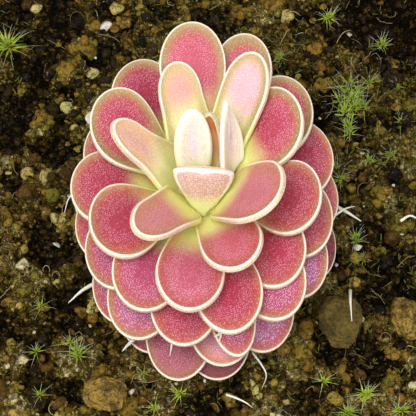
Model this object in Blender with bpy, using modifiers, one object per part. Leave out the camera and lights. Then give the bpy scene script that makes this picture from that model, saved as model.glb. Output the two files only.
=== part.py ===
"""A potted butterwort: a tight winter rosette of thick spoon-shaped leaves on a short crown, set in
gritty peat in a plain round terracotta pot. Metres, +Z up, origin at the centre of the pot's underside.

The rosette follows the plant's own rule: each leaf stands 137.5 degrees round from the next younger one
and a little lower on the crown, and the older a leaf is the more it lies down."""

import math
from collections import namedtuple

import bmesh
import bpy
import numpy as np
from mathutils import Matrix

MM = 0.001
GAP = 0.3  # clearance between touching pieces, in mm

# The pot, in mm
POT_HEIGHT = 88.0
RIM_RADIUS = 58.5
RIM_HEIGHT = 17.0
RIM_STEP = 3.0  # how far the rim stands out from the body below it
BASE_RADIUS = 40.0
WALL = 5.5
FLOOR = 5.0
DRAIN_RADIUS = 7.0
POT_STEPS = 64

# The soil, in mm
SOIL_LEVEL = 80.0
SOIL_STEPS = 48
SOIL_RINGS = 9
SOIL_RELIEF = 0.9
SOIL_BOTTOM = FLOOR + GAP
SOIL_INSET = GAP + 0.1  # from the pot's inner wall, which is faceted
SOIL_CORNER = 2.0  # the plug's lower edge is cut off this much

# The plant, in mm, with its own zero height at the level of the lowest leaf's base
PLANT_SHIFT = (0.0, -4.5)  # the plant stands a little off the middle of the pot
PLANT_LIFT = 2.9  # from the soil up to the plant's zero height
OVAL = 0.76  # the rosette is narrower across X than along Y
CROWN_RADIUS = 6.5  # where the leaf bases start
CROWN_SHOULDER = 9.5  # above this height the crown rounds over into a dome
CROWN_DEPTH = 4.0  # how far the crown's stem goes into the soil
TOP_BASE = 15.2  # height of the youngest leaf's base
BASE_DROP = 0.27  # each older leaf starts this much lower

# The leaves, in mm and degrees
OLDEST = 50
DIVERGENCE = 137.5
FIRST_AZIMUTH = 269.0  # of leaf 1
THICKNESS = 0.8
ROWS = 8
COLUMNS = 4
BLADE_ROWS = 3  # rows from the base to the widest place, the rest follow the round tip
TIP_ARC = 82.0  # degrees of the tip's quarter circle that the rows cover

Leaf = namedtuple(
    "Leaf", "azimuth base_r base_z pitch_in pitch_out length width neck widest cup roll shift"
)

# Single leaves that grew a little off the rule: turned round, tilted up, longer or wider than it says.
TURN = {
    3: -29, 4: 14, 5: -22, 6: -10, 7: 8, 8: 1, 9: 12, 10: -2, 11: -15, 12: 10, 13: 9, 14: 2, 15: 8,
    16: -21, 17: 4, 18: 6, 19: -5, 20: 5, 22: -3, 23: 4, 24: 0, 27: -9, 30: -9, 32: 6, 35: 6, 37: 7,
    38: -4, 40: -2, 43: 2, 45: 10, 46: 34, 48: -9,
}
TILT = {3: 12, 4: 9, 6: 5, 7: 20}
# Neighbours that have changed places on the stem: the rank whose height each of them takes.
LEVEL = {11: 16, 13: 18, 16: 11, 18: 13}
SIZE = {
    3: 1.46, 4: 1.42, 5: 1.13, 6: 1.09, 7: 1.1, 8: 0.97, 9: 1.12, 10: 0.79, 11: 0.95, 13: 1.06, 14: 1.09,
    15: 0.98, 16: 0.94, 17: 0.97, 18: 1.02, 19: 1.06, 21: 0.98, 22: 0.97, 24: 0.95, 25: 0.95, 28: 0.95,
    32: 0.98, 33: 0.95, 35: 0.95, 38: 0.96, 40: 0.95, 46: 0.89, 48: 0.935,
}
WIDTH = {
    3: 1.12, 4: 0.74, 5: 0.8, 7: 0.5, 9: 1.04, 10: 0.68, 13: 0.93, 15: 0.95, 16: 0.95, 20: 0.93, 27: 0.68,
}
NECK = {3: 0.15, 4: 0.14, 6: 0.15}

# The youngest leaves stand nearly upright over the crown's top, each in its own way.
CENTRAL_BUD = Leaf(90, 2.9, 14.9, 66, 62, 9.8, 3.6, 0.6, 0.4, 0.4, 0, -1.1)
YOUNGEST = {
    0: Leaf(93, 0.6, 15.0, 62, 60, 13.9, 6.8, 0.4, 0.4, 0.5, 58, -4.2),
    1: Leaf(267, 4.35, 14.8, 106, 128, 7.6, 11.0, 0.12, 0.9, 0.2, 0, 0.0),
    2: Leaf(98, 1.0, 15.3, 64, 62, 12.0, 6.9, 0.5, 0.5, 0.35, 0, 1.9),
}

# Stones that lie on the soil: place from the plant, half sizes, turn
STONES = {
    "stone_1": ((20.3, -15.6), (3.4, 4.4, 1.7), 10.0),
    "stone_2": ((-14.7, -26.9), (3.1, 3.5, 1.8), 65.0),
    "stone_3": ((30.4, -14.5), (2.5, 3.3, 1.8), 8.0),
}


def clear_scene():
    for old in list(bpy.data.objects):
        bpy.data.objects.remove(old, do_unlink=True)


def collection(name):
    made = bpy.data.collections.new(name)
    bpy.context.scene.collection.children.link(made)
    return made


def material(name, colour, roughness):
    made = bpy.data.materials.new(name)
    made.use_nodes = True
    shader = made.node_tree.nodes["Principled BSDF"]
    shader.inputs["Base Color"].default_value = (*colour, 1.0)
    shader.inputs["Roughness"].default_value = roughness
    shader.inputs["Metallic"].default_value = 0.0
    made.diffuse_color = (*colour, 1.0)
    return made


def piece(name, mesh, finish, home, parent=None, location=(0.0, 0.0, 0.0)):
    """An object of this mesh, whose material is finish, with its place given in metres."""
    made = bpy.data.objects.new(name, mesh)
    if finish is not None:
        mesh.materials.append(finish)
    home.objects.link(made)
    made.parent = parent
    made.location = location
    return made


def cutter(name, mesh, home, location):
    made = piece(name, mesh, None, home, location=location)
    made.hide_render = True
    made.display_type = "WIRE"
    return made


def smooth(mesh, angle=40.0):
    mesh.shade_smooth()
    mesh.set_sharp_from_angle(angle=math.radians(angle))


def smoothstep(x):
    x = min(max(x, 0.0), 1.0)
    return x * x * (3.0 - 2.0 * x)


# ---------------------------------------------------------------- turned pieces


def rounded(corners, radius, steps=2):
    """The closed outline through these (r, z) corners, each corner cut back into a short arc."""
    outline = []
    for index, corner in enumerate(corners):
        here = np.array(corner)
        before = np.array(corners[index - 1]) - here
        after = np.array(corners[(index + 1) % len(corners)]) - here
        reach = min(radius, np.linalg.norm(before) / 2.5, np.linalg.norm(after) / 2.5)
        start = here + before / np.linalg.norm(before) * reach
        end = here + after / np.linalg.norm(after) * reach
        for step in range(steps + 1):
            t = step / steps
            outline.append((1 - t) ** 2 * start + 2 * t * (1 - t) * here + t**2 * end)
    return outline


def turned_mesh(name, outline, closed):
    """Edges in the XZ plane for a Screw modifier, from (r, z) points in mm."""
    mesh = bpy.data.meshes.new(name)
    points = [(r * MM, 0.0, z * MM) for r, z in outline]
    edges = [(i, i + 1) for i in range(len(points) - 1)]
    if closed:
        edges.append((len(points) - 1, 0))
    mesh.from_pydata(points, edges, [])
    return mesh


def add_screw(obj, steps):
    screw = obj.modifiers.new("Turn", "SCREW")
    screw.axis = "Z"
    screw.angle = math.tau
    screw.steps = steps
    screw.render_steps = steps
    screw.use_merge_vertices = True
    screw.merge_threshold = 0.00001
    screw.use_smooth_shade = True


def pot_inner_radius(z):
    """Radius of the pot's inner wall at height z."""
    low, high = BASE_RADIUS - WALL, RIM_RADIUS - WALL
    return low + (high - low) * (z - FLOOR) / (POT_HEIGHT - FLOOR)


def make_pot(home):
    body_top = RIM_RADIUS - RIM_STEP
    rim_low = POT_HEIGHT - RIM_HEIGHT
    corners = [
        (RIM_RADIUS, POT_HEIGHT),
        (RIM_RADIUS - 0.8, rim_low),
        (body_top - 0.8, rim_low - 1.2),
        (BASE_RADIUS, 0.0),
        (DRAIN_RADIUS, 0.0),
        (DRAIN_RADIUS, FLOOR),
        (pot_inner_radius(FLOOR), FLOOR),
        (pot_inner_radius(POT_HEIGHT), POT_HEIGHT),
    ]
    pot = piece(
        "pot",
        turned_mesh("pot", rounded(corners, 1.6), closed=True),
        material("terracotta", (0.55, 0.24, 0.13), 0.85),
        home,
    )
    add_screw(pot, POT_STEPS)
    return pot


# ---------------------------------------------------------------- soil


def soil_relief(x, y):
    """Height of the soil over its level, in mm: gentle lumps that die away under the rosette."""
    lumps = (
        math.sin(0.31 * x + 0.8) * math.cos(0.27 * y - 0.4)
        + 0.6 * math.sin(0.52 * y + 0.23 * x)
        + 0.4 * math.cos(0.71 * x - 0.44 * y)
    )
    away = math.hypot((x - PLANT_SHIFT[0]) / OVAL, y - PLANT_SHIFT[1])
    return SOIL_RELIEF * 0.5 * (lumps - 0.6) * smoothstep((away - 24.0) / 10.0)


def make_soil(home, cutters):
    """A turned plug that fills the pot, with a lumpy top and a socket for the crown's stem."""
    mesh = bpy.data.meshes.new("soil")
    shell = bmesh.new()
    top_radius = pot_inner_radius(SOIL_LEVEL) - SOIL_INSET
    ring = top_radius / SOIL_RINGS
    profile = [(ring * i, SOIL_LEVEL) for i in range(SOIL_RINGS + 1)]
    corner = SOIL_BOTTOM + SOIL_CORNER
    profile.append((pot_inner_radius(corner) - SOIL_INSET, corner))
    profile.append((pot_inner_radius(SOIL_BOTTOM) - SOIL_INSET - SOIL_CORNER, SOIL_BOTTOM))
    profile.append((0.0, SOIL_BOTTOM))
    points = [shell.verts.new((r * MM, 0.0, z * MM)) for r, z in profile]
    edges = [shell.edges.new(pair) for pair in zip(points, points[1:])]
    bmesh.ops.spin(
        shell,
        geom=points + edges,
        cent=(0.0, 0.0, 0.0),
        axis=(0.0, 0.0, 1.0),
        angle=math.tau,
        steps=SOIL_STEPS,
        use_merge=True,
    )
    bmesh.ops.remove_doubles(shell, verts=shell.verts, dist=0.01 * MM)
    for vert in shell.verts:
        if vert.co.z > (SOIL_LEVEL - 0.5) * MM and vert.co.xy.length < (top_radius - 1.0) * MM:
            vert.co.z += soil_relief(vert.co.x / MM, vert.co.y / MM) * MM
    bmesh.ops.recalc_face_normals(shell, faces=shell.faces)
    shell.to_mesh(mesh)
    shell.free()
    smooth(mesh)
    soil = piece("soil", mesh, material("peat", (0.05, 0.035, 0.025), 0.95), home)

    socket = bpy.data.meshes.new("crown_socket")
    hole = bmesh.new()
    bmesh.ops.create_cone(
        hole,
        cap_ends=True,
        segments=32,
        radius1=(stem_radius() + GAP) * MM,
        radius2=(stem_radius() + GAP) * MM,
        depth=2 * (CROWN_DEPTH + GAP) * MM,
    )
    bmesh.ops.scale(hole, vec=(OVAL, 1.0, 1.0), verts=hole.verts)
    hole.to_mesh(socket)
    hole.free()
    place = (PLANT_SHIFT[0] * MM, PLANT_SHIFT[1] * MM, SOIL_LEVEL * MM)
    socket_cutter = cutter("crown_socket_cutter", socket, cutters, place)
    cut = soil.modifiers.new("Crown socket", "BOOLEAN")
    cut.operation = "DIFFERENCE"
    cut.solver = "EXACT"
    cut.object = socket_cutter
    return soil


def make_stone(name, home, finish):
    """A worn pebble: an icosphere flattened and pushed in on a few broad faces."""
    (x, y), half, turn = STONES[name]
    mesh = bpy.data.meshes.new(name)
    pebble = bmesh.new()
    bmesh.ops.create_icosphere(pebble, subdivisions=2, radius=1.0)
    for vert in pebble.verts:
        px, py, pz = vert.co
        dent = 1.0 + 0.10 * math.sin(3.1 * px + turn) + 0.08 * math.cos(4.3 * py - 2.0 * pz + x)
        floor = max(pz * dent, -0.55)
        vert.co = (px * dent * half[0] * MM, py * dent * half[1] * MM, floor * half[2] * MM)
    spin = Matrix.Rotation(math.radians(turn), 3, "Z")
    bmesh.ops.rotate(pebble, matrix=spin, verts=pebble.verts)
    pebble.to_mesh(mesh)
    pebble.free()
    smooth(mesh, 60.0)
    world_x, world_y = x + PLANT_SHIFT[0], y + PLANT_SHIFT[1]
    reach = max(half[0], half[1])
    around = [
        soil_relief(world_x + reach * math.cos(a), world_y + reach * math.sin(a))
        for a in np.linspace(0, math.tau, 12, endpoint=False)
    ]
    under = max(around + [soil_relief(world_x, world_y)]) + 0.55 * half[2] + GAP
    return piece(
        name, mesh, finish, home, location=(world_x * MM, world_y * MM, (SOIL_LEVEL + under) * MM)
    )


# ---------------------------------------------------------------- crown


def stem_radius():
    """Radius of the crown, which stops just short of the leaf bases around it."""
    return CROWN_RADIUS - GAP - THICKNESS / 2


def make_crown(home, rosette):
    """A short oval stem with a domed top, which every leaf grows from."""
    radius = stem_radius()
    low = -PLANT_LIFT - CROWN_DEPTH
    outline = []
    for step in range(8):
        angle = math.radians(90.0 * (1 - step / 7))
        outline.append((radius * math.cos(angle), CROWN_SHOULDER + radius * math.sin(angle)))
    outline[0] = (0.0, outline[0][1])
    outline.append((radius, (CROWN_SHOULDER + low) / 2))
    outline.append((radius, low))
    outline.append((0.0, low))
    crown = piece(
        "crown",
        turned_mesh("crown", outline, closed=False),
        material("crown_green", (0.55, 0.52, 0.16), 0.5),
        home,
        parent=rosette,
    )
    crown.scale = (OVAL, 1.0, 1.0)
    add_screw(crown, 28)
    return crown


# ---------------------------------------------------------------- leaves


def grown_leaf(rank):
    """The leaf that the growth rule gives at this rank, 0 the youngest and OLDEST the lowest."""
    if rank in YOUNGEST:
        return YOUNGEST[rank]
    level = LEVEL.get(rank, rank)
    base_z = TOP_BASE - BASE_DROP * (level - 1)
    over = max(0.0, base_z - CROWN_SHOULDER)
    base_r = math.sqrt(CROWN_RADIUS**2 - over**2)
    pitch = 54.0 - 66.0 * math.sqrt(level / OLDEST) + TILT.get(rank, 0)
    curl = 4.0 + 10.0 * min(1.0, rank / 20)
    return Leaf(
        azimuth=FIRST_AZIMUTH - DIVERGENCE * (rank - 1) + TURN.get(rank, 0),
        base_r=base_r,
        base_z=base_z,
        pitch_in=pitch + curl,
        pitch_out=pitch - curl,
        length=(20.3 - 12.0 * math.exp(-rank / 5)) * SIZE.get(rank, 1.0),
        width=(13.2 - 6.0 * math.exp(-rank / 4.5)) * WIDTH.get(rank, 1.0),
        neck=NECK.get(rank, 0.19),
        widest=0.66,
        cup=0.25 * math.exp(-rank / 8),
        roll=0.0,
        shift=0.0,
    )


def half_width(leaf, along):
    """Half the blade's width at a share of its length: a narrow neck, a broad blade, a round tip."""
    if along < leaf.widest:
        share = leaf.neck + (1 - leaf.neck) * smoothstep(along / leaf.widest)
    else:
        share = math.sqrt(max(0.0, 1 - ((along - leaf.widest) / (1 - leaf.widest)) ** 2))
    return share * leaf.width / 2


def leaf_point(leaf, along, across):
    """A point of the leaf's middle surface in the plant's frame, in mm. across runs from -1 to 1."""
    steps = 40
    run, rise = 0.0, 0.0
    for step in range(steps):
        share = along * (step + 0.5) / steps
        pitch = math.radians(leaf.pitch_in + (leaf.pitch_out - leaf.pitch_in) * share)
        run += math.cos(pitch) * leaf.length * along / steps
        rise += math.sin(pitch) * leaf.length * along / steps
    pitch = math.radians(leaf.pitch_in + (leaf.pitch_out - leaf.pitch_in) * along)
    half = half_width(leaf, along)
    side = half * across
    lift = leaf.cup * half * across**2
    roll = math.radians(leaf.roll)
    side, lift = (
        side * math.cos(roll) - lift * math.sin(roll) + leaf.shift,
        side * math.sin(roll) + lift * math.cos(roll),
    )
    out = leaf.base_r + run - math.sin(pitch) * lift
    up = leaf.base_z + rise + math.cos(pitch) * lift
    turn = math.radians(leaf.azimuth)
    return np.array(
        (
            (out * math.cos(turn) - side * math.sin(turn)) * OVAL,
            out * math.sin(turn) + side * math.cos(turn),
            up,
        )
    )


def row_share(row, widest):
    """How far along the leaf a row of the grid lies: even up to the widest place, then round the tip."""
    if row <= BLADE_ROWS:
        return widest * row / BLADE_ROWS
    angle = math.radians(TIP_ARC * (row - BLADE_ROWS) / (ROWS - BLADE_ROWS))
    return widest + (1 - widest) * math.sin(angle)


def make_leaf(name, leaf, home, rosette, finish):
    """A bent grid given its thickness by Solidify. The object's origin is the middle of its base."""
    base = leaf_point(leaf, 0.0, 0.0)
    mesh = bpy.data.meshes.new(name)
    blade = bmesh.new()
    bmesh.ops.create_grid(blade, x_segments=COLUMNS, y_segments=ROWS, size=1.0)
    for vert in blade.verts:
        row = round((vert.co.y + 1) / 2 * ROWS)
        vert.co = (leaf_point(leaf, row_share(row, leaf.widest), vert.co.x) - base) * MM
    blade.to_mesh(mesh)
    blade.free()
    smooth(mesh, 50.0)
    made = piece(name, mesh, finish, home, parent=rosette, location=base * MM)
    thick = made.modifiers.new("Thickness", "SOLIDIFY")
    thick.thickness = THICKNESS * MM
    thick.offset = 0.0
    return made


def make_rosette(home):
    rosette = bpy.data.objects.new("rosette", None)
    home.objects.link(rosette)
    rosette.location = (
        PLANT_SHIFT[0] * MM,
        PLANT_SHIFT[1] * MM,
        (SOIL_LEVEL + PLANT_LIFT) * MM,
    )
    make_crown(home, rosette)
    pale = material("young_leaf", (0.80, 0.70, 0.50), 0.45)
    pink = material("grown_leaf", (0.58, 0.13, 0.18), 0.45)
    dark = material("old_leaf", (0.40, 0.09, 0.16), 0.5)
    make_leaf("central_bud", CENTRAL_BUD, home, rosette, pale)
    for rank in range(OLDEST + 1):
        finish = pale if rank < 3 else pink if rank < 24 else dark
        make_leaf(f"leaf_{rank:02d}", grown_leaf(rank), home, rosette, finish)


def main():
    clear_scene()
    parts = collection("potted_butterwort")
    cutters = collection("cutters")
    make_pot(parts)
    make_soil(parts, cutters)
    make_rosette(parts)
    ochre = material("ochre_stone", (0.42, 0.27, 0.12), 0.8)
    for name in STONES:
        make_stone(name, parts, ochre)


main()
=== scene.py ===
"""The looks of the potted butterwort: fleshy leaves with thick pale rims, mossy peat and a terracotta pot.

Lengths are in millimetres unless a name says otherwise, and become metres when a mesh is made."""

import functools
from collections import namedtuple
from math import ceil, copysign, cos, exp, pi, radians, sin, sqrt, tau

import bmesh
import bpy
import numpy as np
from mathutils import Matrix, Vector


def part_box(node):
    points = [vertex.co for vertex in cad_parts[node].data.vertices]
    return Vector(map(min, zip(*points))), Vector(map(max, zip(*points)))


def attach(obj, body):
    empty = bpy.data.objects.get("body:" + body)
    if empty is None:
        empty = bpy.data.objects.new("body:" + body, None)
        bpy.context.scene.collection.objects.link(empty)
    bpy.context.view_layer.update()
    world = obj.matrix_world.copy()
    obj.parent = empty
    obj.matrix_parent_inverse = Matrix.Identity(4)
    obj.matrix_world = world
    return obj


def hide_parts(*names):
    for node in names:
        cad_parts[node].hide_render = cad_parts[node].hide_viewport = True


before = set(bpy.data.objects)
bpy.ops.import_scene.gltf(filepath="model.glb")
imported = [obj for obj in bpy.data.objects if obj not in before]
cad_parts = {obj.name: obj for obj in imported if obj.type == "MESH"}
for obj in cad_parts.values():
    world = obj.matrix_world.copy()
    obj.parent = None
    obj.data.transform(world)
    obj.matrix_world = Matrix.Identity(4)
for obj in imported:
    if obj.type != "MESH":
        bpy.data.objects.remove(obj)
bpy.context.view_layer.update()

MM = 0.001


def box_mm(node):
    """A node's lowest and highest corners, in mm."""
    low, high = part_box(node)
    return np.array(low) / MM, np.array(high) / MM


# ---- the frame's measures

_, POT_HIGH = box_mm("pot")
SOIL_LOW, SOIL_HIGH = box_mm("soil")
CROWN_LOW, CROWN_HIGH = box_mm("crown")

OVAL = 0.76
CROWN_RADIUS = 6.5
CROWN_SHOULDER = 9.5
CROWN_CORE = (CROWN_HIGH[1] - CROWN_LOW[1]) / 2
CROWN_SWELL = 0.9  # how far the flesh between the leaf bases rises over the core
PLANT_LIFT = 2.9
TOP_BASE = 15.2
BASE_DROP = 0.27
OLDEST = 50
DIVERGENCE = 137.5
FIRST_AZIMUTH = 269
TOP_PITCH = 54
PITCH_FALL = 66
GROWN_LENGTH = 20.3
GROWN_WIDTH = 13.2
PLANT = (CROWN_LOW + CROWN_HIGH) / 2
PLANT[2] = CROWN_HIGH[2] - CROWN_SHOULDER - CROWN_CORE
SOIL_LEVEL = PLANT[2] - PLANT_LIFT
SOIL_RADIUS = (SOIL_HIGH[0] - SOIL_LOW[0]) / 2

LEAF_MEASURES = "azimuth base_r base_z pitch_in pitch_out length width neck widest cup roll shift tip"
Leaf = namedtuple("Leaf", LEAF_MEASURES, defaults=[0.5])
# By how many degrees single leaves are turned round the stem or tilted up, by rank
TURN = {
    3: -31, 4: 14, 5: -22, 6: -10, 7: 8, 8: 1, 9: 12, 10: -2, 11: -15, 12: 10, 13: 9, 14: 2, 15: 8, 16: -21,
    17: 4, 18: 6, 19: -5, 20: 5, 22: -3, 23: 4, 27: -9, 30: -9, 32: 6, 35: 6, 37: 7, 38: -4, 40: -2, 43: 2,
    45: 10, 46: 34, 48: -9,
}
TILT = {3: 12, 4: 9, 6: 5, 7: 20}
# Neighbours that have changed places on the stem: the rank whose height each of them takes
LEVEL = {11: 16, 13: 18, 16: 11, 18: 13}
# Single leaves' length and width, as a share of what the rule gives
SIZE = {
    3: 1.46, 4: 1.42, 5: 1.13, 6: 1.09, 7: 1.1, 8: 0.97, 9: 1.12, 10: 0.79, 11: 0.95, 13: 1.06, 14: 1.09,
    15: 0.98, 16: 0.94, 17: 0.97, 18: 1.02, 19: 1.06, 21: 0.98, 22: 0.97, 24: 0.95, 25: 0.95, 28: 0.95,
    32: 0.98, 33: 0.95, 35: 0.95, 38: 0.96, 40: 0.95, 46: 0.89, 48: 0.935,
}
WIDTH = {
    3: 1.2, 4: 0.74, 5: 0.8, 7: 0.5, 9: 1.04, 10: 0.68, 13: 0.93, 15: 0.95, 16: 0.95, 20: 0.93, 27: 0.68,
}
CENTRAL_BUD = Leaf(90, 2, 14, 66, 62, 11, 5.4, 0.7, 0.4, 0.4, 0, -0.85)
YOUNGEST = {
    0: Leaf(93, 0.2, 15, 62, 60, 13.8, 6.8, 1, 0.3, 0.5, 52, -4.3, tip=1),
    1: Leaf(267, 4.35, 14.8, 106, 128, 7.6, 11.3, 0.4, 0.84, 0.2, 0, -0.1),
    2: Leaf(98, 1, 15.3, 64, 62, 12, 6.9, 0.85, 0.5, 0.35, 0, 1.75),
}
SHEATHS = {4: 1.15, 7: 1.6, 10: 1.15}  # how broad the fleshy base is, as a share of the leaf's width

# How far a leaf has coloured, from 0 (cream) over 1 (crimson) to 1.3 (dark), where its rank doesn't say it
BLUSH = {
    0: 0.02, 1: 0.17, 2: 0, 3: 0.54, 4: 0.49, 5: 0.38, 6: 0.6, 7: 0.27, 8: 0.86, 9: 0.66, 10: 0.34, 13: 0.7,
    17: 0.76, 18: 0.7, 19: 1, 23: 1, 35: 0.52, 38: 1.1, 43: 1.16, 45: 1.24, 46: 1.2, 48: 1.3,
}
# How strongly a painted sheen, a painted violet reflection of the sky, lies over the middle of a leaf,
# where it does
PAINTED_SHEEN = {
    5: 0.6, 9: 0.15, 17: 0.35, 19: 0.4, 25: 0.3, 27: 0.4, 30: 0.6, 32: 1, 35: 0.3, 38: 0.4, 40: 0.8,
    43: 0.12, 46: 0.3,
}
OLIVE_FRONT = 0.45  # the olive border's width in front, in mm
OLIVE_BACK = 0.9  # how much wider it grows toward the back
# How much wider than its fellows' a leaf's olive border is, in mm
OLIVE = {
    4: 0.2, 6: -0.3, 8: 0.35, 9: -0.3, 11: 0.2, 12: 0.4, 13: 0.4, 14: 0.1, 15: 0.3, 16: 0.3, 17: 0.3,
    19: 0.3, 20: 0.4, 21: 0.2, 24: 0.35, 25: 0.4, 30: 0.4, 32: 0.35, 43: 0.4,
}
# How far along a leaf its yellow-green base reaches, as a share of its length, and how far on the others
GREEN = {0: 0.12, 1: 0.4, 2: 0.3, 3: 0.34, 4: 0.34, 5: 0.48, 7: 0.46, 10: 0.54}
GREEN_REACH = 0.4
YOUNG_HALF = {0: 0.5, 1: 1.1, 2: 0.9}  # half the thickness of the three youngest leaves
NOISE_CELLS = 256  # cells along each side of a table of random numbers
LUMP_REACH = 0.72  # how far a lump spreads from its middle, in cells

# ---- helpers


def smoothstep(x, low=0, high=1):
    x = np.clip((np.asarray(x, float) - low) / (high - low), 0, 1)
    return x * x * (3 - 2 * x)


def rgb(*levels):
    """A display colour, 0 to 255, as linear RGBA."""
    shares = [level / 255 for level in levels]
    return (*(v / 12.92 if v <= 0.04045 else ((v + 0.055) / 1.055) ** 2.4 for v in shares), 1)


class Builder:
    """Collects closed shapes, in mm, into one mesh with point attributes."""

    def __init__(self):
        self.points = []
        self.faces = []
        self.values = {}
        self.count = 0

    def add(self, points, faces, **values):
        points = np.asarray(points, float)
        self.points.append(points)
        self.faces.extend((np.asarray(face) + self.count).tolist() for face in faces)
        for label, value in values.items():
            value = np.asarray(value, float)
            shape = (len(points), 3) if value.shape[-1:] == (3,) else (len(points),)
            self.values.setdefault(label, []).append(np.broadcast_to(value, shape))
        self.count += len(points)

    def make(self, name, finish):
        values = {label: np.concatenate(parts) for label, parts in self.values.items()}
        return new_object(name, np.concatenate(self.points), self.faces, finish, values)


def link_object(name, data):
    made = bpy.data.objects.new(name, data)
    bpy.context.scene.collection.objects.link(made)
    return made


def new_object(name, points, faces, finish, values=None):
    """A smooth mesh object from points in mm, with point attributes."""
    mesh = bpy.data.meshes.new(name)
    mesh.from_pydata((np.reshape(points, (-1, 3)) * MM).tolist(), [], faces)
    for label, value in (values or {}).items():
        value = np.asarray(value, np.float32)
        kind, field = ("FLOAT", "value") if value.ndim == 1 else ("FLOAT_VECTOR", "vector")
        mesh.attributes.new(label, kind, "POINT").data.foreach_set(field, value.ravel())
    mesh.materials.append(finish)
    mesh.shade_smooth()
    mesh.update()
    return link_object(name, mesh)


def weld(piece):
    """Joins points that lie together, closes what is left open and turns the faces outward."""
    mesh = bmesh.new()
    mesh.from_mesh(piece.data)
    bmesh.ops.remove_doubles(mesh, verts=mesh.verts, dist=0.002 * MM)
    bmesh.ops.holes_fill(mesh, edges=mesh.edges, sides=0)
    bmesh.ops.recalc_face_normals(mesh, faces=mesh.faces)
    mesh.to_mesh(piece.data)
    mesh.free()
    piece.data.shade_smooth()
    return piece


def stand_for(piece, slot, *nodes):
    """The piece rides on the pot's body and stands for these nodes, which it hides. slot is not used."""
    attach(piece, "root")
    if nodes:
        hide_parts(*nodes)


def grid_faces(rows, columns, flip=False):
    index = np.arange(rows * columns).reshape(rows, columns)
    quads = np.stack([index[:-1, :-1], index[:-1, 1:], index[1:, 1:], index[1:, :-1]], -1).reshape(-1, 4)
    return (quads[:, ::-1] if flip else quads).tolist()


def turned(radius, height, turn):
    """Rows of points: each radius and height, turned round the upright axis."""
    return np.stack([radius * np.cos(turn), radius * np.sin(turn), height + 0 * turn], -1)


def ball(subdivisions):
    """Points and faces of a round ball of radius 1."""
    mesh = bmesh.new()
    bmesh.ops.create_icosphere(mesh, subdivisions=subdivisions, radius=1)
    points = np.array([vert.co[:] for vert in mesh.verts])
    faces = [[vert.index for vert in face.verts] for face in mesh.faces]
    mesh.free()
    return points, faces


def tube(path, across, sides, flat=1):
    """A closed tube along a path. across is its radius at each point, flat its thickness over its width."""
    path = np.asarray(path, float)
    ahead = np.gradient(path, axis=0)
    ahead /= np.linalg.norm(ahead, axis=1, keepdims=True)
    side = np.cross(ahead, (0, 0, 1)) + (1e-6, 0, 0)
    side /= np.linalg.norm(side, axis=1, keepdims=True)
    up = np.cross(side, ahead)
    turn = np.arange(sides) * tau / sides
    radius = np.asarray(across, float)[:, None, None]
    ring = side[:, None] * np.cos(turn)[:, None] + up[:, None] * np.sin(turn)[:, None] * flat
    points = (path[:, None] + ring * radius).reshape(-1, 3)
    last = (len(path) - 1) * sides
    faces = []
    for row in range(0, last, sides):
        for k in range(sides):
            a, b = row + k, row + (k + 1) % sides
            faces.append([a, b, b + sides, a + sides])
    return points, faces + [list(range(sides))[::-1], list(range(last, last + sides))]


@functools.lru_cache(maxsize=None)
def random_table(seed):
    """Three random numbers for each cell of a square of cells."""
    return np.random.default_rng(seed).random((NOISE_CELLS, NOISE_CELLS, 3))


def in_cells(x, y, cell):
    """Places counted in cells, and the whole numbers below them."""
    gx, gy = x / cell + 100, y / cell + 100
    return gx, gy, np.floor(gx).astype(int), np.floor(gy).astype(int)


def noise_at(x, y, cell, seed):
    """Smooth noise from 0 to 1 with bumps about one cell across."""
    table = random_table(seed)[..., 0]
    gx, gy, ix, iy = in_cells(x, y, cell)
    fx, fy = smoothstep(gx - ix), smoothstep(gy - iy)
    ix, jx, iy, jy = (i % NOISE_CELLS for i in (ix, ix + 1, iy, iy + 1))
    near = table[ix, iy] * (1 - fx) + table[jx, iy] * fx
    far = table[ix, jy] * (1 - fx) + table[jx, jy] * fx
    return near * (1 - fy) + far * fy


def clods(x, y, cell, seed):
    """Rounded lumps about one cell across, with gaps: their height, 0 to 1, and a number for each lump."""
    table = random_table(seed)
    gx, gy, ix, iy = in_cells(x, y, cell)
    near, lot = np.full(np.shape(gx), 9.0), np.zeros(np.shape(gx))
    for i in (ix - 1, ix, ix + 1):
        for j in (iy - 1, iy, iy + 1):
            place = table[i % NOISE_CELLS, j % NOISE_CELLS]
            away = np.hypot(i + place[..., 0] - gx, j + place[..., 1] - gy)
            lot = np.where(away < near, place[..., 2], lot)
            near = np.minimum(away, near)
    return np.sqrt(np.clip(1 - (near / LUMP_REACH) ** 2, 0, 1)), lot


class Value:
    """An output of a material's nodes. Its sums and products are nodes too."""

    def __init__(self, graph, socket):
        self.graph = graph
        self.socket = socket

    def __mul__(self, other):
        return self.graph.math("MULTIPLY", self, other)

    def __add__(self, other):
        return self.graph.math("ADD", self, other)

    def __sub__(self, other):
        return self.graph.math("SUBTRACT", self, other)

    def __rsub__(self, other):
        return self.graph.math("SUBTRACT", other, self)


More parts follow.
